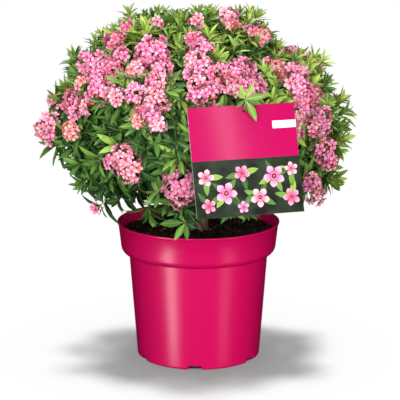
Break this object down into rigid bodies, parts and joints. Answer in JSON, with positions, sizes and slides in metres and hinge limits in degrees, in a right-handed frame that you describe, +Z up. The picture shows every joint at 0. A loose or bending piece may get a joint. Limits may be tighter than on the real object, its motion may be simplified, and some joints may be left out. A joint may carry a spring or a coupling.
{
  "type": "potted dwarf rhododendron",
  "caption": "Rounded dwarf rhododendron in pink flower, in a round magenta nursery pot, with a plain card label hung on one twig.",
  "frame": {"origin": "centre of the pot's flat underside", "axes": "+Z up the plant, -Y towards the front that the card label faces"},
  "size_m": [0.4536, 0.5149, 0.5005],
  "materials": {
    "pot": "satin",
    "compost": "matte",
    "bark": "matte",
    "foliage": "satin",
    "card": "satin"
  },
  "bodies": {
    "root": {"pot": "pot", "compost": "compost", "trunk": "bark", "leader": "bark", "bough_1": "bark", "bough_2": "bark", "bough_3": "bark", "bough_4": "bark", "bough_5": "bark", "bough_6": "bark", "bough_7": "bark", "foliage_low_1": "foliage", "foliage_low_2": "foliage", "foliage_low_3": "foliage", "foliage_low_4": "foliage", "foliage_low_5": "foliage", "foliage_low_6": "foliage", "foliage_low_7": "foliage", "foliage_middle_1": "foliage", "foliage_middle_2": "foliage", "foliage_middle_3": "foliage", "foliage_middle_4": "foliage", "foliage_middle_5": "foliage", "foliage_middle_6": "foliage", "foliage_middle_7": "foliage", "foliage_top_1": "foliage", "foliage_top_2": "foliage", "foliage_top_3": "foliage", "label_card": "card"}
  },
  "joints": []
}
